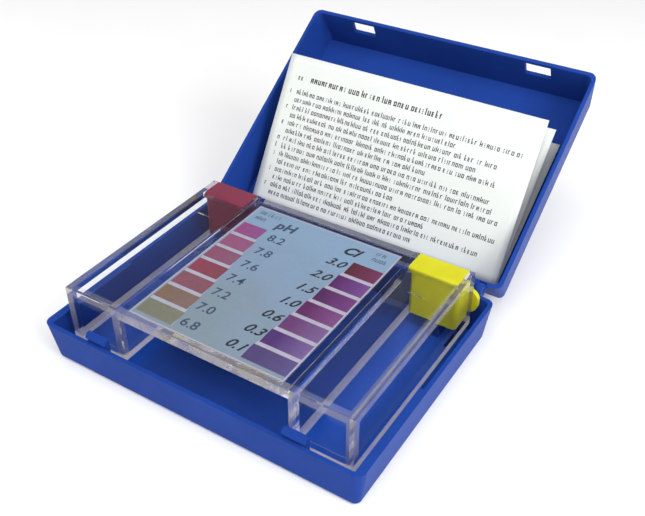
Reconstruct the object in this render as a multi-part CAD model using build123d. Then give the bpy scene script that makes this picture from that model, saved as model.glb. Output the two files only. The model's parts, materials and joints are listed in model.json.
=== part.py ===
from build123d import *
import math
import os

# Water test kit: a hinged plastic case that holds a clear two-cell comparator,
# its two stoppers, two strips of reagent tablets and a folded leaflet.
# Frame: origin at the centre of the tray's underside, +X to the right,
# +Y towards the hinge, +Z up. The lid is built closed, then swung open.

# Driving dimensions, mm
CASE_WIDTH = 100.0
CASE_DEPTH = 74.0
BASE_HEIGHT = 12.6
LID_HEIGHT = 14.5
WALL = 1.6
SIDE_WALL = 1.2
CORNER_RADIUS = 2.6
OPEN_ANGLE = 145.8

COMPARATOR_WIDTH = 89.4
COMPARATOR_DEPTH = 64.0
COMPARATOR_HEIGHT = 18.0
COMPARATOR_FRONT = -31.3
COMPARATOR_BOTTOM = 5.3

TABLET_DIAMETER = 6.0
TABLET_THICKNESS = 2.0
TABLETS_ACROSS = 2
TABLETS_ALONG = 5

PAPER = 0.3
PANEL_LENGTH = 50.0
FAN_STEP = 12.0

# Case details
BASE_INSET = 1.6
LID_INSET = 2.0
RIM_GAP = 0.15
LID_RIM = BASE_HEIGHT + RIM_GAP
HALF_WIDTH = CASE_WIDTH / 2
HALF_DEPTH = CASE_DEPTH / 2
FRONT_WALL_INNER = -HALF_DEPTH + SIDE_WALL
EDGE_ROUND = 1.5
PAD_THICKNESS = 1.2
PAD_BACK = -4.5
LEDGE_WIDTH = 4.0
LEDGE_REACH = 1.5
REAR_FOOT_Y = 26.0
REST_GAP = 0.1

# Latch
TAB_X = 31.2
TAB_WIDTH = 6.8
TAB_RISE = 2.5
TAB_THICKNESS = 1.3
TAB_GAP = 0.15
TAB_ROOT = 4.0
BARB_DEPTH = 0.6
BARB_LOW = 1.2
BARB_HIGH = 2.4
WINDOW_WIDTH = 8.4
WINDOW_LOW = 1.0
WINDOW_HIGH = 5.8

# Hinge: the axis lies along X just behind the rear wall
HINGE_Y = HALF_DEPTH + 1.6
HINGE_Z = BASE_HEIGHT + 0.6
EAR_RADIUS = 2.2
EAR_THICKNESS = 2.0
EAR_CLEARANCE = 0.3
EAR_ROOT_DROP = 6.0
BARREL_RADIUS = 1.5
BARREL_START = 35.2
BARREL_END = 43.3
BARREL_SIDE_GAP = 0.2
PIN_RADIUS = 0.8
PIN_CLEARANCE = 0.05
PIN_LENGTH = 1.9

# Comparator
CELL_INNER = 28.7
CELL_OUTER = 42.5
CELL_INNER_WALL = 26.6
CELL_FLOOR = 2.2
CELL_ROOF = 2.0
CELL_FRONT_WALL = 2.0
BRIDGE_DROP = 0.3
BRIDGE_THICKNESS = 2.7
GROOVE_Y = 30.3
GROOVE_SIZE = 0.4
CHART_WIDTH = 48.4
CHART_FRONT = -29.5
CHART_BACK = 29.0
CHART_RECESS = 0.4
CHART_THICKNESS = 0.3
CHART_GAP = 0.1
FILL_MARK_Y = 15.4
FILL_MARK_LENGTH = 4.5
FILL_MARK_START = 33.0
FILL_MARK_SIZE = 0.3

# Stoppers
STOPPER_INNER = 27.9
STOPPER_OUTER = 43.1
STOPPER_LENGTH = 7.7
STOPPER_GAP = 0.1
STOPPER_WALL = 1.8
STOPPER_HOLLOW_LOW = 9.5
STOPPER_EDGE_ROUND = 1.7
PLUG_EDGE_ROUND = 1.0
KNOB_INNER = 36.0
KNOB_OUTER = 46.3
KNOB_BACK = 34.3
KNOB_LOW = 9.2
KNOB_HIGH = 16.6
KNOB_ROUND = 3.0
KNOB_GAP = 0.15
NECK_DEPTH = 2.0

# Tablet strips, side by side on the tray's floor
STRIP_WIDTH = 18.4
STRIP_LENGTH = 46.0
PHENOL_STRIP_X = -16.0
DPD_STRIP_X = 2.8
STRIP_Y = 9.0
STRIP_LIFT = 0.2
FOIL = 0.15
FOIL_GAP = 0.05
DOME_CLEARANCE = 0.2
TABLET_CHAMFER = 0.3

# Leaflet, flat against the lid's roof when the case is closed
PANEL_WIDTH = 88.5
PANEL_X = 0.65
PANEL_BACK = 32.5
PANEL_PITCH = 0.6
PANEL_ROOF_GAP = 0.3
TOP_PANEL_Z = LID_RIM + LID_HEIGHT - WALL - PAPER - PANEL_ROOF_GAP


def block(x_span, y_span, z_span):
    """Box between two values on each axis."""
    size = [high - low for low, high in (x_span, y_span, z_span)]
    corner = Pos(x_span[0], y_span[0], z_span[0])
    return corner * Box(*size, align=(Align.MIN, Align.MIN, Align.MIN))


def x_cylinder(radius, x_start, x_end, y, z):
    """Cylinder along X between two values of x."""
    plane = Plane(origin=(x_start, y, z), x_dir=(0, 1, 0), z_dir=(1, 0, 0))
    return extrude(plane * Circle(radius), amount=x_end - x_start)


def tapered(width, depth, height, inset, radius, z, up):
    """Rounded block that narrows by inset over its height, away from z."""
    direction = 1 if up else -1
    outline = Pos(0, 0, z) * RectangleRounded(width, depth, radius)
    end = Pos(0, 0, z + direction * height) * RectangleRounded(
        width - 2 * inset, depth - 2 * inset, radius - inset / 2
    )
    return loft([outline, end], ruled=True)


def shell(height, inset, z, up):
    """Open box with sloping walls: outer block minus inner block."""
    direction = 1 if up else -1
    outer = tapered(CASE_WIDTH, CASE_DEPTH, height, inset, CORNER_RADIUS, z, up)
    end_z = z + direction * height
    end_edges = outer.edges().filter_by_position(Axis.Z, end_z - 0.01, end_z + 0.01)
    outer = fillet(end_edges, EDGE_ROUND)
    inner_height = height - WALL
    inner = tapered(
        CASE_WIDTH - 2 * SIDE_WALL,
        CASE_DEPTH - 2 * SIDE_WALL,
        inner_height,
        inset * inner_height / height,
        CORNER_RADIUS - SIDE_WALL / 2,
        z,
        up,
    )
    return outer - inner


def latch_tab(x):
    """Upright tab on the front wall with an outward barb."""
    front = FRONT_WALL_INNER + TAB_GAP
    back = front + TAB_THICKNESS
    x_span = (x - TAB_WIDTH / 2, x + TAB_WIDTH / 2)
    upright = block(x_span, (front, back), (BASE_HEIGHT - TAB_ROOT, BASE_HEIGHT + TAB_RISE))
    root = block(x_span, (front - SIDE_WALL / 2, back), (BASE_HEIGHT - TAB_ROOT, BASE_HEIGHT))
    profile = Polyline(
        (front, BASE_HEIGHT + BARB_LOW),
        (front - BARB_DEPTH, BASE_HEIGHT + BARB_LOW),
        (front, BASE_HEIGHT + BARB_HIGH),
        close=True,
    )
    barb_plane = Plane(origin=(x_span[0], 0, 0), x_dir=(0, 1, 0), z_dir=(1, 0, 0))
    barb = extrude(barb_plane * make_face(profile), amount=TAB_WIDTH)
    return upright + root + barb


def ear(x_start):
    """Rounded hinge ear with a bore, on a web down the rear wall."""
    x_end = x_start + EAR_THICKNESS
    disc = x_cylinder(EAR_RADIUS, x_start, x_end, HINGE_Y, HINGE_Z)
    web_foot = HINGE_Z - EAR_ROOT_DROP
    wall_y = HALF_DEPTH - SIDE_WALL / 2
    outline = Polyline(
        (wall_y, BASE_HEIGHT),
        (HINGE_Y, BASE_HEIGHT),
        (HINGE_Y + EAR_RADIUS, HINGE_Z),
        (wall_y, web_foot),
        close=True,
    )
    plane = Plane(origin=(x_start, 0, 0), x_dir=(0, 1, 0), z_dir=(1, 0, 0))
    web = extrude(plane * make_face(outline), amount=EAR_THICKNESS)
    return disc + web


def hinge_stations():
    """Start and end of the lid's barrel on each side, and its two ears."""
    near = BARREL_START - BARREL_SIDE_GAP - EAR_THICKNESS
    far = BARREL_END + BARREL_SIDE_GAP
    right = ((BARREL_START, BARREL_END), (near, far))
    left_ears = (-near - EAR_THICKNESS, -far - EAR_THICKNESS)
    return right, ((-BARREL_END, -BARREL_START), left_ears)


def side_pad(side):
    """Thicker front stretch of a side wall, with the ledge below it."""
    wall_x = side * (HALF_WIDTH - SIDE_WALL / 2)
    pad_x = side * (HALF_WIDTH - SIDE_WALL - PAD_THICKNESS)
    ledge_x = side * (COMPARATOR_WIDTH / 2 - LEDGE_REACH)
    y_span = (FRONT_WALL_INNER - SIDE_WALL / 2, PAD_BACK)
    pad = block(sorted((pad_x, wall_x)), y_span, (WALL / 2, BASE_HEIGHT))
    foot_y = (COMPARATOR_FRONT + 1.0, COMPARATOR_FRONT + 1.0 + LEDGE_WIDTH)
    ledge = block(sorted((ledge_x, wall_x)), foot_y, (WALL / 2, COMPARATOR_BOTTOM - REST_GAP))
    inside = tapered(
        CASE_WIDTH - SIDE_WALL,
        CASE_DEPTH - SIDE_WALL,
        BASE_HEIGHT,
        BASE_INSET,
        CORNER_RADIUS,
        BASE_HEIGHT,
        False,
    )
    return (pad + ledge) & inside


def rear_foot(side):
    """Short post under the comparator's rear corner."""
    x = side * (CELL_INNER + CELL_OUTER) / 2
    x_span = (x - LEDGE_WIDTH / 2, x + LEDGE_WIDTH / 2)
    y_span = (REAR_FOOT_Y, REAR_FOOT_Y + LEDGE_WIDTH)
    return block(x_span, y_span, (WALL / 2, COMPARATOR_BOTTOM - REST_GAP))


def case_base():
    tray = shell(BASE_HEIGHT, BASE_INSET, BASE_HEIGHT, up=False)
    for side in (-1, 1):
        tray += side_pad(side)
        tray += rear_foot(side)
        tray += latch_tab(side * TAB_X)
    for _, ears in hinge_stations():
        for x_start in ears:
            tray += ear(x_start)
    for _, ears in hinge_stations():
        start = min(ears) - 1
        end = max(ears) + EAR_THICKNESS + 1
        tray -= x_cylinder(PIN_RADIUS + PIN_CLEARANCE, start, end, HINGE_Y, HINGE_Z)
    return tray


def lid_barrel(x_start, x_end):
    """Barrel with its arm to the lid's rear wall and a stub pin at each end."""
    barrel = x_cylinder(BARREL_RADIUS, x_start, x_end, HINGE_Y, HINGE_Z)
    arm_y = (HALF_DEPTH - SIDE_WALL / 2, HINGE_Y)
    arm = block((x_start, x_end), arm_y, (LID_RIM, HINGE_Z + BARREL_RADIUS))
    pins = x_cylinder(PIN_RADIUS, x_start - PIN_LENGTH, x_end + PIN_LENGTH, HINGE_Y, HINGE_Z)
    return barrel + arm + pins


def latch_window(x):
    x_span = (x - WINDOW_WIDTH / 2, x + WINDOW_WIDTH / 2)
    y_span = (-HALF_DEPTH - 1, FRONT_WALL_INNER + LID_INSET + 1)
    return block(x_span, y_span, (LID_RIM + WINDOW_LOW, LID_RIM + WINDOW_HIGH))


def swing(piece):
    """Turn a piece about the hinge from its closed place to the open one."""
    return piece.rotate(Axis((0, HINGE_Y, HINGE_Z), (1, 0, 0)), -OPEN_ANGLE)


def case_lid():
    lid = shell(LID_HEIGHT, LID_INSET, LID_RIM, up=True)
    for barrel, ears in hinge_stations():
        for x_start in ears:
            low = x_start - BARREL_SIDE_GAP
            high = x_start + EAR_THICKNESS + BARREL_SIDE_GAP
            lid -= x_cylinder(EAR_RADIUS + EAR_CLEARANCE, low, high, HINGE_Y, HINGE_Z)
        lid += lid_barrel(*barrel)
    for side in (-1, 1):
        lid -= latch_window(side * TAB_X)
    return swing(lid)


def mirrored_span(side, inner, outer):
    return sorted((side * inner, side * outer))


def comparator_top():
    return COMPARATOR_BOTTOM + COMPARATOR_HEIGHT


def comparator_back():
    return COMPARATOR_FRONT + COMPARATOR_DEPTH


def cell(side):
    """Long square tube, shut at the front, open over its rear end."""
    top = comparator_top()
    back = comparator_back()
    half = COMPARATOR_WIDTH / 2
    body = block(
        mirrored_span(side, CELL_INNER_WALL, half), (COMPARATOR_FRONT, back), (COMPARATOR_BOTTOM, top)
    )
    bore = block(
        mirrored_span(side, CELL_INNER, CELL_OUTER),
        (COMPARATOR_FRONT + CELL_FRONT_WALL, back + 1),
        (COMPARATOR_BOTTOM + CELL_FLOOR, top - CELL_ROOF),
    )
    mouth = block(
        mirrored_span(side, STOPPER_INNER, STOPPER_OUTER),
        (back - STOPPER_LENGTH, back + 1),
        (top - CELL_ROOF - 0.01, top + 1),
    )
    mark = block(
        mirrored_span(side, FILL_MARK_START, FILL_MARK_START + FILL_MARK_LENGTH),
        (FILL_MARK_Y, FILL_MARK_Y + FILL_MARK_SIZE),
        (top - FILL_MARK_SIZE, top + 1),
    )
    return body - bore - mouth - mark


def comparator_body():
    bridge_top = comparator_top() - BRIDGE_DROP
    bridge = block(
        (-CELL_INNER_WALL - 0.5, CELL_INNER_WALL + 0.5),
        (COMPARATOR_FRONT, comparator_back()),
        (bridge_top - BRIDGE_THICKNESS, bridge_top),
    )
    recess = block(
        (-CHART_WIDTH / 2, CHART_WIDTH / 2),
        (CHART_FRONT, CHART_BACK),
        (bridge_top - CHART_RECESS, bridge_top + 1),
    )
    groove = block(
        (-CELL_INNER_WALL, CELL_INNER_WALL),
        (GROOVE_Y, GROOVE_Y + GROOVE_SIZE),
        (bridge_top - GROOVE_SIZE, bridge_top + 1),
    )
    return cell(-1) + cell(1) + (bridge - recess - groove)


def colour_chart():
    bridge_top = comparator_top() - BRIDGE_DROP
    low = bridge_top - CHART_RECESS
    half = CHART_WIDTH / 2 - CHART_GAP
    y_span = (CHART_FRONT + CHART_GAP, CHART_BACK - CHART_GAP)
    return block((-half, half), y_span, (low, low + CHART_THICKNESS))


def stopper(side):
    """Plug with a flange flush with the cell's roof and a finger knob behind."""
    top = comparator_top()
    back = comparator_back()
    front = back - STOPPER_LENGTH + STOPPER_GAP
    flange = block(
        mirrored_span(side, STOPPER_INNER + STOPPER_GAP, STOPPER_OUTER - STOPPER_GAP),
        (front, back),
        (top - CELL_ROOF + STOPPER_GAP, top),
    )
    front_top = flange.edges().filter_by(Axis.X).group_by(Axis.Y)[0].sort_by(Axis.Z)[-1]
    flange = fillet(front_top, STOPPER_EDGE_ROUND)
    plug = block(
        mirrored_span(side, CELL_INNER + STOPPER_GAP, CELL_OUTER - STOPPER_GAP),
        (front, back),
        (COMPARATOR_BOTTOM + CELL_FLOOR + STOPPER_GAP, top - STOPPER_EDGE_ROUND),
    )
    plug = fillet(plug.edges().filter_by(Axis.Z).group_by(Axis.Y)[0], PLUG_EDGE_ROUND)
    hollow = block(
        mirrored_span(side, CELL_INNER + STOPPER_WALL, CELL_OUTER - STOPPER_WALL),
        (front + STOPPER_WALL, back + 1),
        (STOPPER_HOLLOW_LOW, top - CELL_ROOF - STOPPER_WALL / 2),
    )
    knob_z = (KNOB_LOW, KNOB_HIGH)
    knob = block(mirrored_span(side, KNOB_INNER, KNOB_OUTER), (back + KNOB_GAP, KNOB_BACK), knob_z)
    knob = fillet(knob.edges().filter_by(Axis.Y), KNOB_ROUND)
    neck_x = mirrored_span(side, KNOB_INNER + KNOB_ROUND, CELL_OUTER - STOPPER_GAP)
    neck = block(neck_x, (back - NECK_DEPTH, KNOB_BACK), knob_z)
    return flange + (plug - hollow) + knob + neck


def tablet_places(x):
    """Centres of one strip's tablets."""
    step_x = STRIP_WIDTH / TABLETS_ACROSS
    step_y = STRIP_LENGTH / TABLETS_ALONG
    first_x = x - STRIP_WIDTH / 2 + step_x / 2
    first_y = STRIP_Y - STRIP_LENGTH / 2 + step_y / 2
    return [
        (first_x + column * step_x, first_y + row * step_y)
        for column in range(TABLETS_ACROSS)
        for row in range(TABLETS_ALONG)
    ]


def strip_floor():
    return WALL + STRIP_LIFT


def tablets(x):
    z = strip_floor() + FOIL + FOIL_GAP
    disc = Cylinder(TABLET_DIAMETER / 2, TABLET_THICKNESS, align=(Align.CENTER, Align.CENTER, Align.MIN))
    disc = chamfer(disc.edges(), TABLET_CHAMFER)
    return Compound([Pos(cx, cy, z) * disc for cx, cy in tablet_places(x)])


def lower_foil(x):
    return Pos(x, STRIP_Y, strip_floor()) * Box(
        STRIP_WIDTH, STRIP_LENGTH, FOIL, align=(Align.CENTER, Align.CENTER, Align.MIN)
    )


def upper_foil(x):
    """Foil sheet with a domed pocket over every tablet."""
    z = strip_floor() + FOIL
    sheet = Pos(x, STRIP_Y, z) * Box(
        STRIP_WIDTH, STRIP_LENGTH, FOIL, align=(Align.CENTER, Align.CENTER, Align.MIN)
    )
    inner_radius = TABLET_DIAMETER / 2 + DOME_CLEARANCE
    inner_height = FOIL_GAP + TABLET_THICKNESS + DOME_CLEARANCE
    for cx, cy in tablet_places(x):
        outer = Cylinder(
            inner_radius + FOIL, inner_height + FOIL, align=(Align.CENTER, Align.CENTER, Align.MIN)
        )
        sheet += Pos(cx, cy, z) * outer
    for cx, cy in tablet_places(x):
        inner = Cylinder(inner_radius, inner_height, align=(Align.CENTER, Align.CENTER, Align.MIN))
        sheet -= Pos(cx, cy, z) * inner
    return sheet


def leaflet_panel(steps):
    """Panel fanned by so many steps from the lid's roof; 0 lies flat on it."""
    z = TOP_PANEL_Z - steps * PANEL_PITCH
    x_span = (PANEL_X - PANEL_WIDTH / 2, PANEL_X + PANEL_WIDTH / 2)
    panel = block(x_span, (PANEL_BACK - PANEL_LENGTH, PANEL_BACK), (z, z + PAPER))
    fold = Axis((0, PANEL_BACK, z + PAPER / 2), (1, 0, 0))
    return swing(panel.rotate(fold, steps * FAN_STEP))


def swung_point(y, z):
    """Where a point of the closed lid lies once the lid is open."""
    angle = math.radians(-OPEN_ANGLE)
    dy = y - HINGE_Y
    dz = z - HINGE_Z
    open_y = HINGE_Y + dy * math.cos(angle) - dz * math.sin(angle)
    open_z = HINGE_Z + dy * math.sin(angle) + dz * math.cos(angle)
    return open_y, open_z


def main():
    os.makedirs("parts", exist_ok=True)
    nodes = {
        "case_base": case_base(),
        "case_lid": case_lid(),
        "comparator_body": comparator_body(),
        "colour_chart": colour_chart(),
        "red_stopper": stopper(-1),
        "yellow_stopper": stopper(1),
        "phenol_red_tablets": tablets(PHENOL_STRIP_X),
        "phenol_red_lower_foil": lower_foil(PHENOL_STRIP_X),
        "phenol_red_upper_foil": upper_foil(PHENOL_STRIP_X),
        "dpd_tablets": tablets(DPD_STRIP_X),
        "dpd_lower_foil": lower_foil(DPD_STRIP_X),
        "dpd_upper_foil": upper_foil(DPD_STRIP_X),
        "leaflet_back_panel": leaflet_panel(0),
        "leaflet_middle_panel": leaflet_panel(1),
        "leaflet_front_panel": leaflet_panel(2),
    }
    for name, solid in nodes.items():
        export_step(solid, f"parts/{name}.step")
    for steps in (1, 2):
        z = TOP_PANEL_Z - steps * PANEL_PITCH + PAPER / 2
        print("fold axis of panel", steps, swung_point(PANEL_BACK, z))


main()
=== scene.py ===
import json
import math
import random

import bmesh
import bpy
from mathutils import Matrix, Vector


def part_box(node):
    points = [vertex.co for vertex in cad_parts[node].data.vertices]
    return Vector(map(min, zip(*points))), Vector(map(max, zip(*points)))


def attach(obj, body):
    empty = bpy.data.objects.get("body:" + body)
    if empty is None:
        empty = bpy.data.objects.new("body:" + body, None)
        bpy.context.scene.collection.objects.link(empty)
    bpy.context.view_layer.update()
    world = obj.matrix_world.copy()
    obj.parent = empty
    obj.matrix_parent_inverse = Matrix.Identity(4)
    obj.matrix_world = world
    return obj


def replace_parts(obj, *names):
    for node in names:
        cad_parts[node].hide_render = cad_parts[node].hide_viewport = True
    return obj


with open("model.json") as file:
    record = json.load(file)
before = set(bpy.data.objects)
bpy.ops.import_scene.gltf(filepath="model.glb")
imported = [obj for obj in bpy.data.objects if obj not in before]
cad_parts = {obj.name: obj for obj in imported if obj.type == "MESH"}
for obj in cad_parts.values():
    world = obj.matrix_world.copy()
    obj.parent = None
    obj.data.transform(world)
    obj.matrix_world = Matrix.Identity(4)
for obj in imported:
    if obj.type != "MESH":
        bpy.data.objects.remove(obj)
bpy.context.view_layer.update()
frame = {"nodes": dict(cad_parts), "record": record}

MM = 0.001
JOINTS = {joint["name"]: joint for joint in frame["record"]["behaviour"]["joints"]}
OPEN_ANGLE = -JOINTS["lid_hinge"]["range_deg"][0]

# Walls of the comparator, the painted milky sheen on their ends, and the painted glow along their
# foot
OUTER_WALL = 2.2 * MM
INNER_WALL = (26.6 * MM, 28.7 * MM)
FLOOR_WALL = 2.1 * MM
STOPPER_ROOM = 9.0 * MM
TOP_SKIN = 0.5 * MM
END_SHEEN = 0.22
TOP_CLEAR = 0.6
LIP_SHEEN = 0.6
# Painted glow along the foot of the wall ends
EDGE_GLOW = 0.19
EDGE_FADE = 0.8 * MM

# The tray's inner floor: painted light makes it lighter than its walls, and a painted shadow of
# the chart makes it less so under the chart
FLOOR_TOP = 1.7 * MM
FLOOR_FADE = 1.0 * MM
FLOOR_LIGHT_GAIN = (1.1, 1.65, 1.75)
CHART_SHADOW_GAIN = (1.45, 1.25, 1.2)
CHART_SHADOW_EDGE = (23 * MM, 27 * MM)

PLASTIC_GRAIN = 0.012
INK_STRENGTH = 0.84
FACING_UP = 0.5


# ---------------------------------------------------------------- materials


class Paint:
    """A node material built around one Principled shader."""

    def __init__(self, name, roughness=0.4, **sockets):
        self.material = bpy.data.materials.new(name)
        self.material.use_nodes = True
        self.nodes = self.material.node_tree.nodes
        self.links = self.material.node_tree.links
        self.shader = self.nodes["Principled BSDF"]
        self.shader.inputs["Roughness"].default_value = roughness
        for socket, value in sockets.items():
            self.shader.inputs[socket.replace("_", " ")].default_value = value
        self.place = self.nodes.new("ShaderNodeTexCoord").outputs["Object"]

    def noise(self, size_mm, detail=3.0, distortion=0.0, stretch=(1, 1, 1)):
        """Noise whose features are about size_mm across."""
        mapping = self.nodes.new("ShaderNodeMapping")
        mapping.inputs["Scale"].default_value = stretch
        self.links.new(self.place, mapping.inputs["Vector"])
        node = self.nodes.new("ShaderNodeTexNoise")
        node.inputs["Scale"].default_value = 1 / (size_mm * MM)
        node.inputs["Detail"].default_value = detail
        node.inputs["Distortion"].default_value = distortion
        self.links.new(mapping.outputs["Vector"], node.inputs["Vector"])
        return node.outputs["Fac"]

    def xyz(self, vector):
        """The three parts of a vector."""
        node = self.nodes.new("ShaderNodeSeparateXYZ")
        self.links.new(vector, node.inputs[0])
        return node.outputs

    def normal(self):
        """The three parts of the face's direction."""
        return self.xyz(self.nodes.new("ShaderNodeNewGeometry").outputs["True Normal"])

    def number_range(self, source, from_low, from_high, to_low, to_high):
        """Maps one range of a number to another."""
        node = self.nodes.new("ShaderNodeMapRange")
        limits = (from_low, from_high, to_low, to_high)
        for name, value in zip(("From Min", "From Max", "To Min", "To Max"), limits):
            node.inputs[name].default_value = value
        self.links.new(source, node.inputs["Value"])
        return node.outputs["Result"]

    def axis_ramp(self, axis, low, high):
        """0 to 1 along an axis between two places in metres."""
        place = self.xyz(self.place)["XYZ".index(axis)]
        return self.number_range(place, low, high, 0.0, 1.0)

    def ramp(self, factor, *stops):
        """Colour ramp; each stop is (position, (r, g, b))."""
        node = self.nodes.new("ShaderNodeValToRGB")
        elements = node.color_ramp.elements
        while len(elements) < len(stops):
            elements.new(0.5)
        for element, (position, colour) in zip(elements, stops):
            element.position = position
            element.color = (*colour, 1)
        self.links.new(factor, node.inputs["Fac"])
        return node.outputs["Color"]

    def mix(self, factor, first, second, blend="MIX"):
        """Blends two colour sockets by a number or a socket."""
        node = self.nodes.new("ShaderNodeMix")
        node.data_type = "RGBA"
        node.blend_type = blend
        if isinstance(factor, float):
            node.inputs["Factor"].default_value = factor
        else:
            self.links.new(factor, node.inputs["Factor"])
        self.links.new(first, node.inputs[6])
        self.links.new(second, node.inputs[7])
        return node.outputs[2]

    def math(self, operation, first, second=0.0):
        """Sum on two inputs, each a number or a socket."""
        node = self.nodes.new("ShaderNodeMath")
        node.operation = operation
        for socket, value in zip(node.inputs, (first, second)):
            if isinstance(value, (int, float)):
                socket.default_value = value
            else:
                self.links.new(value, socket)
        return node.outputs[0]

    def between(self, value, low, high):
        """1 where a value lies between two limits."""
        above = self.math("GREATER_THAN", value, low)
        return self.math("MULTIPLY", above, self.math("LESS_THAN", value, high))

    def colour(self, source):
        self.links.new(source, self.shader.inputs["Base Color"])

    def roughness(self, source, low, high):
        """Roughness from low to high as the source goes from 0 to 1."""
        varied = self.number_range(source, 0.0, 1.0, low, high)
        self.links.new(varied, self.shader.inputs["Roughness"])

    def bump(self, source, depth_mm, strength=1.0, after=None):
        """Relief from a source, on top of an earlier bump."""
        node = self.nodes.new("ShaderNodeBump")
        node.inputs["Distance"].default_value = depth_mm * MM
        node.inputs["Strength"].default_value = strength
        self.links.new(source, node.inputs["Height"])
        if after:
            self.links.new(after, node.inputs["Normal"])
        self.links.new(node.outputs["Normal"], self.shader.inputs["Normal"])
        return node.outputs["Normal"]


def shade(colour, factor):
    return tuple(channel * factor for channel in colour)


def plastic_paint(name, colour, gloss, specular):
    """Opaque moulded plastic: faint flow clouds, fine grain and scuffs."""
    paint = Paint(name, Specular_IOR_Level=specular)
    clouds = paint.noise(14, 4, 0.6)
    base = paint.ramp(clouds, (0.3, shade(colour, 0.93)), (0.7, shade(colour, 1.06)))
    scuff_mask = paint.noise(3.5, 6, 1.5, (0.25, 1, 1))
    scuffs = paint.ramp(scuff_mask, (0.66, (0, 0, 0)), (0.8, (1, 1, 1)))
    paint.roughness(scuffs, gloss, gloss + 0.14)
    fine = paint.bump(paint.noise(0.35, 2), PLASTIC_GRAIN)
    paint.bump(paint.noise(9, 2), 0.05, 0.6, fine)
    return paint, base


def moulded_plastic(name, colour, gloss, specular=0.2):
    paint, base = plastic_paint(name, colour, gloss, specular)
    paint.colour(base)
    return paint.material


def tray_plastic(name, colour, gloss, specular):
    """Moulded plastic with painted light on the tray's floor, and less of it in the chart's
    painted shadow.
    """
    paint, base = plastic_paint(name, colour, gloss, specular)
    low = paint.axis_ramp("Z", FLOOR_TOP + FLOOR_FADE, FLOOR_TOP)
    faces_up = paint.math("GREATER_THAN", paint.normal()[2], FACING_UP)
    painted_light_mask = paint.math("MULTIPLY", low, faces_up)
    # painted light: up-facing floor faces are made lighter, and a painted shadow of the chart
    # keeps them darker beneath it
    lighter = paint.ramp(painted_light_mask, (0.0, (1, 1, 1)), (1.0, FLOOR_LIGHT_GAIN))
    dimmer = paint.ramp(painted_light_mask, (0.0, (1, 1, 1)), (1.0, CHART_SHADOW_GAIN))
    aside = paint.math("ABSOLUTE", paint.xyz(paint.place)[0])
    covered = paint.number_range(aside, *CHART_SHADOW_EDGE, 1.0, 0.0)
    gain = paint.mix(covered, lighter, dimmer)
    paint.colour(paint.mix(1.0, base, gain, "MULTIPLY"))
    return paint.material


def clear_plastic():
    """Clear polystyrene; painted milky sheen where a wall is seen end-on, painted glow along its
    foot.
    """
    paint = Paint("clear_polystyrene", 0.03, IOR=1.12, Coat_Weight=0.15, Coat_Roughness=0.04)
    ends = wall_ends(paint)
    flow = paint.noise(5.0, 3, 0.6, (1, 0.4, 0.4))
    streaks = paint.number_range(flow, 0.3, 0.7, 0.7, 1.0)
    # painted sheen: a milky colour on the wall ends stands in for the light that clear edges catch
    sheen = paint.math("MULTIPLY", paint.math("MULTIPLY", ends, streaks), END_SHEEN)
    paint.links.new(paint.math("SUBTRACT", 1.0, sheen), paint.shader.inputs["Transmission Weight"])
    clear = paint.ramp(
        paint.noise(6, 3, 0.4),
        (0.3, (0.975, 0.985, 1.0)),
        (0.7, (0.99, 0.995, 1.0)),
    )
    sheen_colour = paint.ramp(
        paint.noise(7.0, 3, 0.4),
        (0.3, (0.58, 0.56, 0.74)),
        (0.5, (0.70, 0.67, 0.70)),
        (0.7, (0.72, 0.66, 0.52)),
    )
    paint.colour(paint.mix(ends, clear, sheen_colour))
    # painted glow: the wall ends near the foot emit a milky light, though they are no lamp
    painted_glow = paint.mix(paint.math("MULTIPLY", ends, low_edges(paint)), black(paint), sheen_colour)
    paint.links.new(painted_glow, paint.shader.inputs["Emission Color"])
    paint.shader.inputs["Emission Strength"].default_value = EDGE_GLOW
    paint.roughness(paint.noise(2.5, 5, 1.0), 0.0, 0.05)
    paint.bump(paint.noise(11, 2), 0.02, 0.4)
    return paint.material


def black(paint):
    node = paint.nodes.new("ShaderNodeRGB")
    node.outputs[0].default_value = (0, 0, 0, 1)
    return node.outputs[0]


def low_edges(paint):
    """1 along the comparator's foot, where the wall ends glow with painted light."""
    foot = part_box("comparator_body")[0][2]
    return paint.axis_ramp("Z", foot + FLOOR_WALL + EDGE_FADE, foot + FLOOR_WALL)


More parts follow.
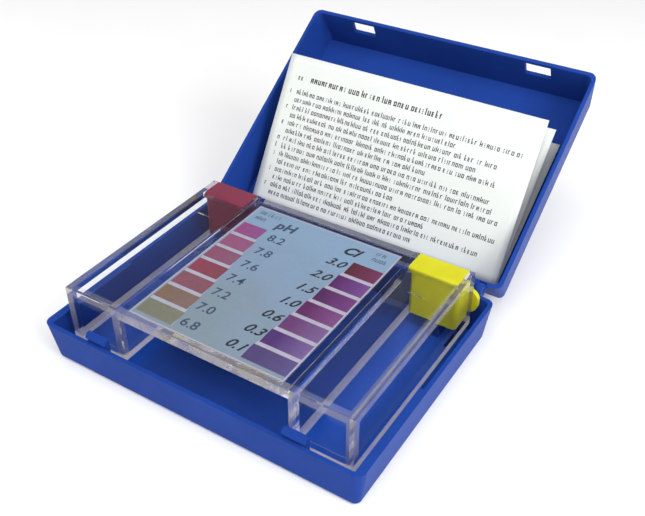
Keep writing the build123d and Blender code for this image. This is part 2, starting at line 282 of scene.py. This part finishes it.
def wall_ends(paint):
    """How much painted sheen a face gets: 1 where a wall or floor runs away behind it.

    Less on top faces, and more on the front lip of the bridge.
    """
    low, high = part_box("comparator_body")
    side, y, z = paint.xyz(paint.place)
    x = paint.math("ABSOLUTE", side)
    outer = paint.math("GREATER_THAN", x, high[0] - OUTER_WALL)
    inner = paint.between(x, INNER_WALL[0], INNER_WALL[1])
    inner = paint.math("MULTIPLY", inner, paint.math("LESS_THAN", z, high[2] - TOP_SKIN))
    side_walls = paint.math("MAXIMUM", outer, inner)
    front_wall = paint.math("LESS_THAN", y, low[1] + FLOOR_WALL)
    roof = paint.math("GREATER_THAN", z, high[2] - FLOOR_WALL)
    roof = paint.math("MULTIPLY", roof, paint.math("LESS_THAN", y, high[1] - STOPPER_ROOM))
    floor = paint.math("LESS_THAN", z, low[2] + FLOOR_WALL)
    bridge = paint.math("LESS_THAN", x, INNER_WALL[0])
    bridge = paint.math("MULTIPLY", bridge, paint.math("LESS_THAN", y, high[1] - TOP_SKIN))
    flat_walls = paint.math("MAXIMUM", paint.math("MAXIMUM", roof, floor), bridge)
    normal = paint.normal()
    total = 0.0
    for facing, wall in zip(normal, (side_walls, front_wall, flat_walls)):
        away = paint.math("SUBTRACT", 1.0, paint.math("ABSOLUTE", facing))
        total = paint.math("ADD", paint.math("MULTIPLY", away, wall), total)
    top = paint.math("GREATER_THAN", z, high[2] - TOP_SKIN)
    top = paint.math("MULTIPLY", top, paint.math("GREATER_THAN", normal[2], FACING_UP))
    share = paint.math("SUBTRACT", 1.0, paint.math("MULTIPLY", top, TOP_CLEAR))
    lip = paint.math("MULTIPLY", front_wall, paint.math("LESS_THAN", x, INNER_WALL[0]))
    share = paint.math("ADD", paint.math("MULTIPLY", lip, LIP_SHEEN), share)
    return paint.math("MULTIPLY", paint.math("MINIMUM", total, 1.0), share)


def chart_film():
    """Milky printed film, slightly wavy, with painted uneven light from below: bluer and lighter
    towards the back.
    """
    paint = Paint("chart_film", 0.42, Specular_IOR_Level=0.35, Coat_Weight=0.1, Coat_Roughness=0.2)
    low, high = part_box("colour_chart")
    along = paint.axis_ramp("Y", low[1], high[1])
    clouds = paint.number_range(paint.noise(20, 3, 0.5), 0.3, 0.7, -0.25, 0.25)
    cloudy = paint.math("ADD", along, clouds)
    # painted light: the film's colour gets bluer and lighter towards the back, in soft clouds
    colour = paint.ramp(
        cloudy,
        (0.05, (0.170, 0.225, 0.270)),
        (0.45, (0.175, 0.245, 0.345)),
        (0.95, (0.180, 0.275, 0.400)),
    )
    speck = paint.ramp(paint.noise(0.5, 2), (0.35, (0.94, 0.94, 0.94)), (0.65, (1, 1, 1)))
    paint.colour(paint.mix(1.0, colour, speck, "MULTIPLY"))
    paint.roughness(paint.noise(8, 3), 0.36, 0.5)
    paint.bump(paint.noise(10, 3, 0.8), 0.12, 0.5)
    return paint.material


def print_ink(name, left, right, x_span):
    """Printed colour that shifts a little across its width."""
    paint = Paint(name, 0.4, Specular_IOR_Level=0.35, Coat_Weight=0.08, Coat_Roughness=0.2)
    span = paint.axis_ramp("X", *x_span)
    across = paint.ramp(span, (0.0, shade(left, INK_STRENGTH)), (1.0, shade(right, INK_STRENGTH)))
    mottle = paint.ramp(paint.noise(1.6, 4), (0.3, (0.88, 0.88, 0.88)), (0.7, (1, 1, 1)))
    paint.colour(paint.mix(1.0, across, mottle, "MULTIPLY"))
    paint.bump(paint.noise(0.6, 2), 0.01)
    return paint.material


def black_ink(name, colour):
    paint = Paint(name, 0.45)
    dark, light = shade(colour, 0.8), shade(colour, 1.5)
    paint.colour(paint.ramp(paint.noise(0.7, 3), (0.3, dark), (0.75, light)))
    paint.bump(paint.noise(0.3, 2), 0.005)
    return paint.material


def paper(name, colour):
    """Coated paper with a faint fibre grain."""
    paint = Paint(name, 0.55, Specular_IOR_Level=0.4)
    fibres = paint.noise(0.6, 5, 2.0, (1, 0.3, 1))
    clouds = paint.noise(16, 3)
    base = paint.ramp(clouds, (0.3, shade(colour, 0.965)), (0.7, colour))
    grain = paint.ramp(fibres, (0.3, (0.965, 0.965, 0.96)), (0.7, (1, 1, 1)))
    paint.colour(paint.mix(1.0, base, grain, "MULTIPLY"))
    fine = paint.bump(fibres, 0.012, 0.7)
    paint.bump(paint.noise(18, 2), 0.15, 0.35, fine)
    return paint.material


def foil(name):
    """Heat-sealed aluminium foil: knurled seal and soft creases."""
    paint = Paint(name, 0.28, Metallic=1.0)
    crease = paint.noise(3.0, 6, 1.8)
    # painted shade and highlight: the colour follows the crease relief, darker in its hollows and
    # lighter on its crests
    paint.colour(paint.ramp(crease, (0.3, (0.70, 0.71, 0.73)), (0.7, (0.88, 0.89, 0.90))))
    paint.roughness(paint.noise(5, 4), 0.18, 0.42)
    knurl = paint.nodes.new("ShaderNodeTexVoronoi")
    knurl.inputs["Scale"].default_value = 1 / (0.8 * MM)
    paint.links.new(paint.place, knurl.inputs["Vector"])
    seal = paint.bump(knurl.outputs["Distance"], 0.08, 0.5)
    paint.bump(crease, 0.5, 0.6, seal)
    return paint.material


def pressed_powder(name, colour):
    paint = Paint(name, 0.85, Specular_IOR_Level=0.2)
    specks = paint.noise(0.25, 4)
    dark, light = shade(colour, 0.8), shade(colour, 1.05)
    paint.colour(paint.ramp(specks, (0.30, dark), (0.5, colour), (0.8, light)))
    paint.bump(specks, 0.06, 0.7)
    return paint.material


CASE_BLUE = (0.014, 0.050, 0.275)
PAPER_WHITE = (0.73, 0.76, 0.735)

CASE = moulded_plastic("blue_polypropylene", CASE_BLUE, 0.36, 0.025)
RED = moulded_plastic("red_polyethylene", (0.19, 0.026, 0.056), 0.34)
YELLOW = moulded_plastic("yellow_polyethylene", (0.55, 0.525, 0.010), 0.34)
TRAY = tray_plastic("blue_tray_polypropylene", CASE_BLUE, 0.36, 0.025)
CLEAR = clear_plastic()
FILM = chart_film()
PALE_FILM = print_ink("pale_film", (0.39, 0.40, 0.50), (0.43, 0.40, 0.50), (-24 * MM, 24 * MM))
FOIL = foil("sealed_foil")
PAPER = paper("leaflet_paper", PAPER_WHITE)
TEXT_INK = black_ink("text_ink", (0.022, 0.024, 0.030))
NUMBER_INK = black_ink("number_ink", (0.008, 0.010, 0.02))
GREY_INK = black_ink("grey_ink", (0.045, 0.055, 0.085))
BLUE_INK = black_ink("blue_black_ink", (0.022, 0.040, 0.085))


# ------------------------------------------------------------- mesh helpers

WELD_REACH = 0.002 * MM
SHARP_DEGREES = 40


def add_object(name, mesh, materials, body):
    """Links a mesh, gives it its materials and sends it with a CAD body."""
    for material in materials:
        mesh.materials.append(material)
    piece = bpy.data.objects.new(name, mesh)
    bpy.context.scene.collection.objects.link(piece)
    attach(piece, body)
    return piece


def mesh_from(name, build):
    """New mesh from a function that fills a bmesh."""
    mesh = bpy.data.meshes.new(name)
    work = bmesh.new()
    build(work)
    bmesh.ops.recalc_face_normals(work, faces=work.faces)
    work.to_mesh(mesh)
    work.free()
    return mesh


def add_prism(work, outline, low, high, material=0):
    """Closed prism over a flat outline of (x, y) between two heights."""
    bottom = [work.verts.new((x, y, low)) for x, y in outline]
    top = [work.verts.new((x, y, high)) for x, y in outline]
    faces = [work.faces.new(bottom[::-1]), work.faces.new(top)]
    for index, vertex in enumerate(bottom):
        after = (index + 1) % len(bottom)
        faces.append(work.faces.new((vertex, bottom[after], top[after], top[index])))
    for face in faces:
        face.material_index = material


def paint_node(node, material):
    """Gives a CAD node its material."""
    piece = frame["nodes"][node]
    piece.data.materials.clear()
    piece.data.materials.append(material)
    return piece


def soften(piece, width_mm, segments=2):
    """Rounds a CAD node's sharp edges a little, so that they catch light."""
    weld = piece.modifiers.new("weld", "WELD")
    weld.merge_threshold = WELD_REACH
    bevel = piece.modifiers.new("bevel", "BEVEL")
    bevel.width = width_mm * MM
    bevel.segments = segments
    bevel.limit_method = "ANGLE"
    bevel.angle_limit = math.radians(SHARP_DEGREES)
    bevel.use_clamp_overlap = True
    bevel.harden_normals = True


# -------------------------------------------------------------- case, cells

soften(paint_node("case_base", TRAY), 0.25)
soften(paint_node("case_lid", CASE), 0.25)
soften(paint_node("comparator_body", CLEAR), 0.22)
soften(paint_node("red_stopper", RED), 0.4, 3)
soften(paint_node("yellow_stopper", YELLOW), 0.4, 3)
paint_node("colour_chart", FILM)
TABLET_COLOURS = {"phenol_red": (0.80, 0.74, 0.66), "dpd": (0.86, 0.85, 0.82)}
for strip, colour in TABLET_COLOURS.items():
    paint_node(f"{strip}_lower_foil", FOIL)
    soften(paint_node(f"{strip}_upper_foil", FOIL), 0.12)
    paint_node(f"{strip}_tablets", pressed_powder(f"{strip}_powder", colour))


# -------------------------------------------------------- print on the chart

CHART_LOW, CHART_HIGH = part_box("colour_chart")
CHART_TOP = CHART_HIGH[2]
BORDER = 0.45 * MM
INK = 0.02 * MM
ROWS = 7
ROW_PITCH = 6.95 * MM
FIRST_ROW_Y = 16.7 * MM
SWATCH_HEIGHT = 5.65 * MM
LAST_ROW_Y = FIRST_ROW_Y - (ROWS - 1) * ROW_PITCH
HEADING_Y = 23.3 * MM
NUMBER_SIZE = 4.4 * MM
SMALL_MARK = 1.12
SMALL_MARK_BOLD = 0.9

# Each column's outer edge, and its inner edge at the back and at the front, mm
PH_COLUMN = (-23.2, -15.0, -11.3)
CHLORINE_COLUMN = (23.6, 14.2, 10.4)

PH_SCALE = (
    ("8.2", (0.280, 0.048, 0.200), (0.220, 0.068, 0.230)),
    ("7.8", (0.262, 0.072, 0.172), (0.262, 0.078, 0.178)),
    ("7.6", (0.240, 0.060, 0.120), (0.228, 0.082, 0.158)),
    ("7.4", (0.255, 0.036, 0.082), (0.200, 0.046, 0.068)),
    ("7.2", (0.225, 0.075, 0.110), (0.215, 0.072, 0.108)),
    ("7.0", (0.190, 0.120, 0.080), (0.200, 0.125, 0.112)),
    ("6.8", (0.172, 0.178, 0.132), (0.180, 0.185, 0.135)),
)
CHLORINE_SCALE = (
    ("3.0", (0.080, 0.004, 0.014), (0.150, 0.020, 0.092)),
    ("2.0", (0.080, 0.006, 0.100), (0.160, 0.052, 0.255)),
    ("1.5", (0.070, 0.008, 0.088), (0.155, 0.034, 0.188)),
    ("1.0", (0.100, 0.010, 0.096), (0.186, 0.062, 0.220)),
    ("0.6", (0.125, 0.034, 0.150), (0.180, 0.100, 0.270)),
    ("0.3", (0.070, 0.022, 0.152), (0.170, 0.106, 0.288)),
    ("0.1", (0.070, 0.048, 0.160), (0.098, 0.072, 0.222)),
)


def edge_at(y, back_x, front_x):
    """x of a slanted column edge at height y on the chart."""
    share = (FIRST_ROW_Y - y) / (FIRST_ROW_Y - LAST_ROW_Y)
    return (back_x + (front_x - back_x) * share) * MM


def swatch_column(name, scale, outer, inner_back, inner_front):
    """Seven colour steps; their inner edges step out towards the front."""
    materials = []
    x_span = sorted((outer * MM, edge_at(FIRST_ROW_Y, inner_back, inner_front)))
    for label, left, right in scale:
        materials.append(print_ink(f"{name}_{label.replace('.', '_')}", left, right, x_span))

    def build(work):
        for row in range(ROWS):
            y = FIRST_ROW_Y - row * ROW_PITCH
            inner = edge_at(y, inner_back, inner_front)
            x_low, x_high = sorted((outer * MM, inner))
            y_low, y_high = y - SWATCH_HEIGHT / 2, y + SWATCH_HEIGHT / 2
            outline = ((x_low, y_low), (x_high, y_low), (x_high, y_high), (x_low, y_high))
            add_prism(work, outline, CHART_TOP, CHART_TOP + INK, row)

    add_object(name, mesh_from(name, build), materials, "comparator")


def film_print(name, outlines, material):
    """Flat printed shapes on the chart."""

    def build(work):
        for outline in outlines:
            add_prism(work, outline, CHART_TOP, CHART_TOP + INK / 2)

    add_object(name, mesh_from(name, build), [material], "comparator")


def swatch_backing(name, outer, inner_back, inner_front):
    """Unprinted pale stretch of film under a column."""
    back = FIRST_ROW_Y + SWATCH_HEIGHT / 2
    front = LAST_ROW_Y - SWATCH_HEIGHT / 2
    outline = [
        (outer * MM, front),
        (edge_at(front, inner_back, inner_front), front),
        (edge_at(back, inner_back, inner_front), back),
        (outer * MM, back),
    ]
    film_print(name, [outline], PALE_FILM)


def chart_border():
    """Pale line round the film's edge."""
    x_low, y_low = CHART_LOW[0], CHART_LOW[1]
    x_high, y_high = CHART_HIGH[0], CHART_HIGH[1]
    bars = (
        (x_low, y_low, x_high, y_low + BORDER),
        (x_low, y_high - BORDER, x_high, y_high),
        (x_low, y_low + BORDER, x_low + BORDER, y_high - BORDER),
        (x_high - BORDER, y_low + BORDER, x_high, y_high - BORDER),
    )
    outlines = [((a, b), (c, b), (c, d), (a, d)) for a, b, c, d in bars]
    film_print("chart_border", outlines, PALE_FILM)


def text_mesh(text, size, x, y, slant, bold):
    """Flat raised lettering centred on a place on the chart."""
    curve = bpy.data.curves.new("lettering", "FONT")
    curve.body = text
    curve.size = size
    curve.shear = slant
    curve.offset = bold
    curve.space_character = 1 + bold / size
    curve.extrude = INK / 2
    curve.align_x = "CENTER"
    curve.align_y = "CENTER"
    holder = bpy.data.objects.new("lettering", curve)
    bpy.context.scene.collection.objects.link(holder)
    bpy.context.view_layer.update()
    mesh = bpy.data.meshes.new_from_object(holder)
    bpy.data.objects.remove(holder)
    mesh.transform(Matrix.Translation((x, y, CHART_TOP + INK / 2)))
    return mesh


def joined(name, meshes):
    """One mesh from several."""

    def build(work):
        for mesh in meshes:
            work.from_mesh(mesh)

    return mesh_from(name, build)


def numbers(name, scale, x_back, x_front, slant, bold_mm, ink):
    """Scale numbers beside a column."""
    meshes = []
    for row, (label, _, _) in enumerate(scale):
        y = FIRST_ROW_Y - row * ROW_PITCH
        x = edge_at(y, x_back, x_front)
        meshes.append(text_mesh(label, NUMBER_SIZE, x, y, slant, bold_mm * MM))
    add_object(name, joined(name, meshes), [ink], "comparator")


def heading(name, label, size_mm, x_mm, slant, bold_mm, ink):
    """Quantity that heads a column."""
    mesh = text_mesh(label, size_mm * MM, x_mm * MM, HEADING_Y, slant, bold_mm * MM)
    add_object(name, joined(name, [mesh]), [ink], "comparator")


chart_border()
swatch_backing("ph_backing", *PH_COLUMN)
swatch_backing("chlorine_backing", *CHLORINE_COLUMN)
swatch_column("ph_swatches", PH_SCALE, *PH_COLUMN)
swatch_column("chlorine_swatches", CHLORINE_SCALE, *CHLORINE_COLUMN)
numbers("ph_numbers", PH_SCALE, -10.0, -7.5, 0.0, 0.05, BLUE_INK)
numbers("chlorine_numbers", CHLORINE_SCALE, 9.9, 6.9, 0.35, 0.09, NUMBER_INK)
heading("ph_heading", "pH", 5.0, -11.0, 0.1, 0.17, BLUE_INK)
heading("chlorine_heading", "Cl", 4.9, 11.0, 0.35, 0.19, NUMBER_INK)


# ------------------------------------------------------------------ leaflet

PANEL_THICKNESS = 0.14 * MM
PANEL_LENGTH = 50.0 * MM
PANEL_MARGIN = 3.2 * MM
LINE_PITCH = 2.62 * MM
MARK_HEIGHT = 1.22 * MM
MARK_WIDTH = 0.84 * MM
MARK_PITCH = 1.10 * MM
MARK_INK = 0.26 * MM
MARK_FORMS = ("LRT", "LRTB", "LRB", "LT", "LTMB", "AMB", "A", "L", "AMR", "LRTB", "LRTM", "TMB")
ASCENDER = 1.42
NARROW = 0.55
WORD_GAP = 0.60 * MM
FIRST_LINE = 42.2 * MM
LAST_LINE = 3.0 * MM
HEADING_DROP = 1.75 * LINE_PITCH
WORD_MARKS = (2, 3, 3, 4, 5, 6, 7, 9)
SHORT_LINE = (0.3, 0.95)
NEW_PARAGRAPH = 0.35
HEADING_MARKS = (10, 3, 5, 3, 4, 9)
HEADING_SIZE = 1.25
HEADING_BOLD = 1.45
HEADING_INDENT = 6.4 * MM
CODE_INDENT = 1.6 * MM
TEXT_INDENT = 2.4 * MM
SHEET_COLUMNS = 36
SHEET_ROWS = 20
SAG_SHARE = 0.6


class Panel:
    """A leaflet panel: its place in space and its slight curl."""

    def __init__(self, node, joint, curl, twist):
        low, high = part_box(node)
        self.x_low, self.x_high = low[0], high[0]
        tilt = 0.0
        if joint:
            fold = JOINTS[joint]["pos_m"]
            tilt = -JOINTS[joint]["range_deg"][0]
            self.foot = Vector((0, fold[1], fold[2]))
        angle = math.radians(180 - OPEN_ANGLE + round(tilt))
        self.along = Vector((0, math.cos(angle), math.sin(angle)))
        self.up = Vector((0, -math.sin(angle), math.cos(angle)))
        if not joint:
            centre = (Vector(low) + Vector(high)) / 2
            self.foot = Vector((0, centre.y, centre.z)) - self.along * PANEL_LENGTH / 2
        self.curl = curl
        self.twist = twist

    def rise(self, x, t):
        """Height of the paper's curl above its flat place."""
        across = 2 * (x - self.x_low) / (self.x_high - self.x_low) - 1
        share = t / PANEL_LENGTH
        sag = 1 - (2 * share - 1) ** 2
        return self.curl * (sag * SAG_SHARE + share**2 * across**2) + self.twist * share * across

    def point(self, x, t, height):
        lift = self.rise(x, t) + height
        return Vector((x, 0, 0)) + self.foot + self.along * t + self.up * lift


def paper_sheet(work, panel):
    """Thin closed sheet that follows the panel's curl."""
    columns, rows = SHEET_COLUMNS, SHEET_ROWS
    layers = []
    for height in (-PANEL_THICKNESS / 2, PANEL_THICKNESS / 2):
        grid = []
        for row in range(rows + 1):
            t = PANEL_LENGTH * row / rows
            line = []
            for column in range(columns + 1):
                x = panel.x_low + (panel.x_high - panel.x_low) * column / columns
                line.append(work.verts.new(panel.point(x, t, height)))
            grid.append(line)
        layers.append(grid)
    for grid in layers:
        for row in range(rows):
            for column in range(columns):
                corners = (
                    grid[row][column],
                    grid[row][column + 1],
                    grid[row + 1][column + 1],
                    grid[row + 1][column],
                )
                work.faces.new(corners).smooth = True
    bottom, top = layers
    rim = [(0, c) for c in range(columns + 1)]
    rim += [(r, columns) for r in range(1, rows + 1)]
    rim += [(rows, c) for c in range(columns - 1, -1, -1)]
    rim += [(r, 0) for r in range(rows - 1, 0, -1)]
    for index, (row, column) in enumerate(rim):
        next_row, next_column = rim[(index + 1) % len(rim)]
        work.faces.new(
            (
                bottom[row][column],
                bottom[next_row][next_column],
                top[next_row][next_column],
                top[row][column],
            )
        )


def stroke(work, panel, x, t, width, height):
    """One closed bar of ink lying on the curled paper."""
    corners = ((x, t), (x + width, t), (x + width, t + height), (x, t + height))
    low, high = (
        [work.verts.new(panel.point(*corner, level)) for corner in corners]
        for level in (PANEL_THICKNESS / 2 - INK / 2, PANEL_THICKNESS / 2 + INK / 2)
    )
    work.faces.new(low[::-1])
    work.faces.new(high)
    for index in range(4):
        after = (index + 1) % 4
        work.faces.new((low[index], low[after], high[after], high[index]))


def mark(work, panel, form, x, t, size, bold):
    """A letter-like mark: L, R upright bars, A a tall one, B, M, T level bars."""
    width, height = MARK_WIDTH * size, MARK_HEIGHT * size
    ink = MARK_INK * bold
    for bar in form:
        if bar in "BMT":
            level = (height - ink) * "BMT".index(bar) / 2
            stroke(work, panel, x + ink, t + level, width - 2 * ink, ink)
        else:
            start = x + width - ink if bar == "R" else x
            stroke(work, panel, start, t, ink, height * (ASCENDER if bar == "A" else 1.0))


def word(work, panel, chance, x, t, marks, size=1.0, bold=1.0):
    """A greeked word, which spells nothing."""
    for _ in range(marks):
        form = chance.choice(MARK_FORMS)
        mark(work, panel, form, x, t, size, bold)
        x += MARK_PITCH * size * (NARROW if len(form) == 1 else 1.0)
    return x


def text_line(work, panel, chance, x, t, end):
    """Words from x until the next would pass the line's end."""
    while True:
        marks = chance.choice(WORD_MARKS)
        if x + marks * MARK_PITCH > end:
            return
        x = word(work, panel, chance, x, t, marks) + WORD_GAP


def text_lines(work, panel, seed):
    """A bold heading line, then numbered paragraphs of greeked words."""
    chance = random.Random(seed)
    left = panel.x_low + PANEL_MARGIN
    right = panel.x_high - PANEL_MARGIN
    word(work, panel, chance, left + CODE_INDENT, FIRST_LINE, 2)
    x = left + HEADING_INDENT
    for marks in HEADING_MARKS:
        x = word(work, panel, chance, x, FIRST_LINE, marks, HEADING_SIZE, HEADING_BOLD)
        x += WORD_GAP
    t = FIRST_LINE - HEADING_DROP
    numbered = True
    while t > LAST_LINE:
        if numbered:
            word(work, panel, chance, left, t, 1)
        indent = left + TEXT_INDENT
        end = right if numbered else indent + (right - indent) * chance.uniform(*SHORT_LINE)
        text_line(work, panel, chance, indent, t, end)
        numbered = not numbered or chance.random() < NEW_PARAGRAPH
        t -= LINE_PITCH


class ChartFace:
    """The chart's flat top, with the same call as a leaflet panel's paper."""

    def point(self, x, y, height):
        return Vector((x, y, CHART_TOP + INK / 2 - PANEL_THICKNESS / 2 + height))


def chart_small_print(words):
    """Tiny marks in place of the chart's small words."""

    def build(work):
        chance = random.Random(5)
        for x, y, marks in words:
            place = (x * MM, y * MM)
            word(work, ChartFace(), chance, *place, marks, SMALL_MARK, SMALL_MARK_BOLD)

    mesh = mesh_from("chart_small_print", build)
    add_object("chart_small_print", mesh, [GREY_INK], "comparator")


chart_small_print(((-21.9, 25.6, 6), (-21.9, 22.6, 3), (17.6, 25.6, 3), (17.6, 22.9, 4)))


def leaflet_panel(node, joint, body, curl_mm, twist_mm, seed):
    """One panel: its sheet, which replaces the CAD node, and its print."""
    panel = Panel(node, joint, curl_mm * MM, twist_mm * MM)
    sheet = mesh_from(f"{node}_sheet", lambda work: paper_sheet(work, panel))
    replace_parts(add_object(f"{node}_sheet", sheet, [PAPER], body), node)
    text = mesh_from(f"{node}_print", lambda work: text_lines(work, panel, seed))
    add_object(f"{node}_print", text, [TEXT_INK], body)


leaflet_panel("leaflet_back_panel", None, "leaflet", 0.08, 0.05, 11)
leaflet_panel("leaflet_middle_panel", "leaflet_middle_tilt", "leaflet_middle", 0.12, -0.06, 12)
leaflet_panel("leaflet_front_panel", "leaflet_front_tilt", "leaflet_front", 0.10, 0.08, 13)


# ------------------------------------------------------ floor, light, camera

CAMERA_PLACE = Vector((111.364, -149.826, 168.696)) * MM
CAMERA_AIM = Vector((4.024, 19.343, 20.528)) * MM
LENS = 49.25
SENSOR = 36.0
CLIP_START = 0.01
FLOOR_SIZE = 6.0
FLOOR_DEPTH = 0.02
WORLD_STRENGTH = 0.55

# Name, place, aim and size in mm, power in watts
LAMPS = (
    ("overhead", (80, -280, 600), (0, 10, 0), (560, 560), 2.3),
    ("key", (430, -60, 330), (0, 10, 10), (320, 240), 2.0),
    ("fill", (-560, -200, 260), (0, 20, 10), (320, 320), 0.8),
)


def pale_floor():
    paint = Paint("pale_floor", 0.9)
    clouds = paint.noise(60, 2)
    paint.colour(paint.ramp(clouds, (0.3, (0.94, 0.94, 0.94)), (0.7, (0.96, 0.96, 0.96))))

    def build(work):
        half = FLOOR_SIZE / 2
        outline = ((-half, -half), (half, -half), (half, half), (-half, half))
        add_prism(work, outline, -FLOOR_DEPTH, 0.0)

    mesh = mesh_from("floor", build)
    mesh.materials.append(paint.material)
    floor = bpy.data.objects.new("floor", mesh)
    bpy.context.scene.collection.objects.link(floor)


def area_light(name, place_mm, aim_mm, size_mm, power):
    data = bpy.data.lights.new(name, "AREA")
    data.shape = "RECTANGLE"
    data.size, data.size_y = (value * MM for value in size_mm)
    data.energy = power
    lamp = bpy.data.objects.new(name, data)
    lamp.location = Vector(place_mm) * MM
    aim = Vector(aim_mm) * MM - lamp.location
    lamp.rotation_euler = aim.to_track_quat("-Z", "Y").to_euler()
    bpy.context.scene.collection.objects.link(lamp)


def studio_world():
    world = bpy.data.worlds.new("studio")
    world.use_nodes = True
    background = world.node_tree.nodes["Background"]
    background.inputs["Color"].default_value = (1.0, 1.0, 1.0, 1)
    background.inputs["Strength"].default_value = WORLD_STRENGTH
    bpy.context.scene.world = world


def make_camera():
    data = bpy.data.cameras.new("camera")
    data.lens = LENS
    data.sensor_width = SENSOR
    data.clip_start = CLIP_START
    camera = bpy.data.objects.new("camera", data)
    camera.location = CAMERA_PLACE
    camera.rotation_euler = (CAMERA_AIM - CAMERA_PLACE).to_track_quat("-Z", "Y").to_euler()
    bpy.context.scene.collection.objects.link(camera)
    bpy.context.scene.camera = camera


pale_floor()
studio_world()
for lamp in LAMPS:
    area_light(*lamp)
make_camera()
bpy.context.scene.view_settings.view_transform = "Standard"
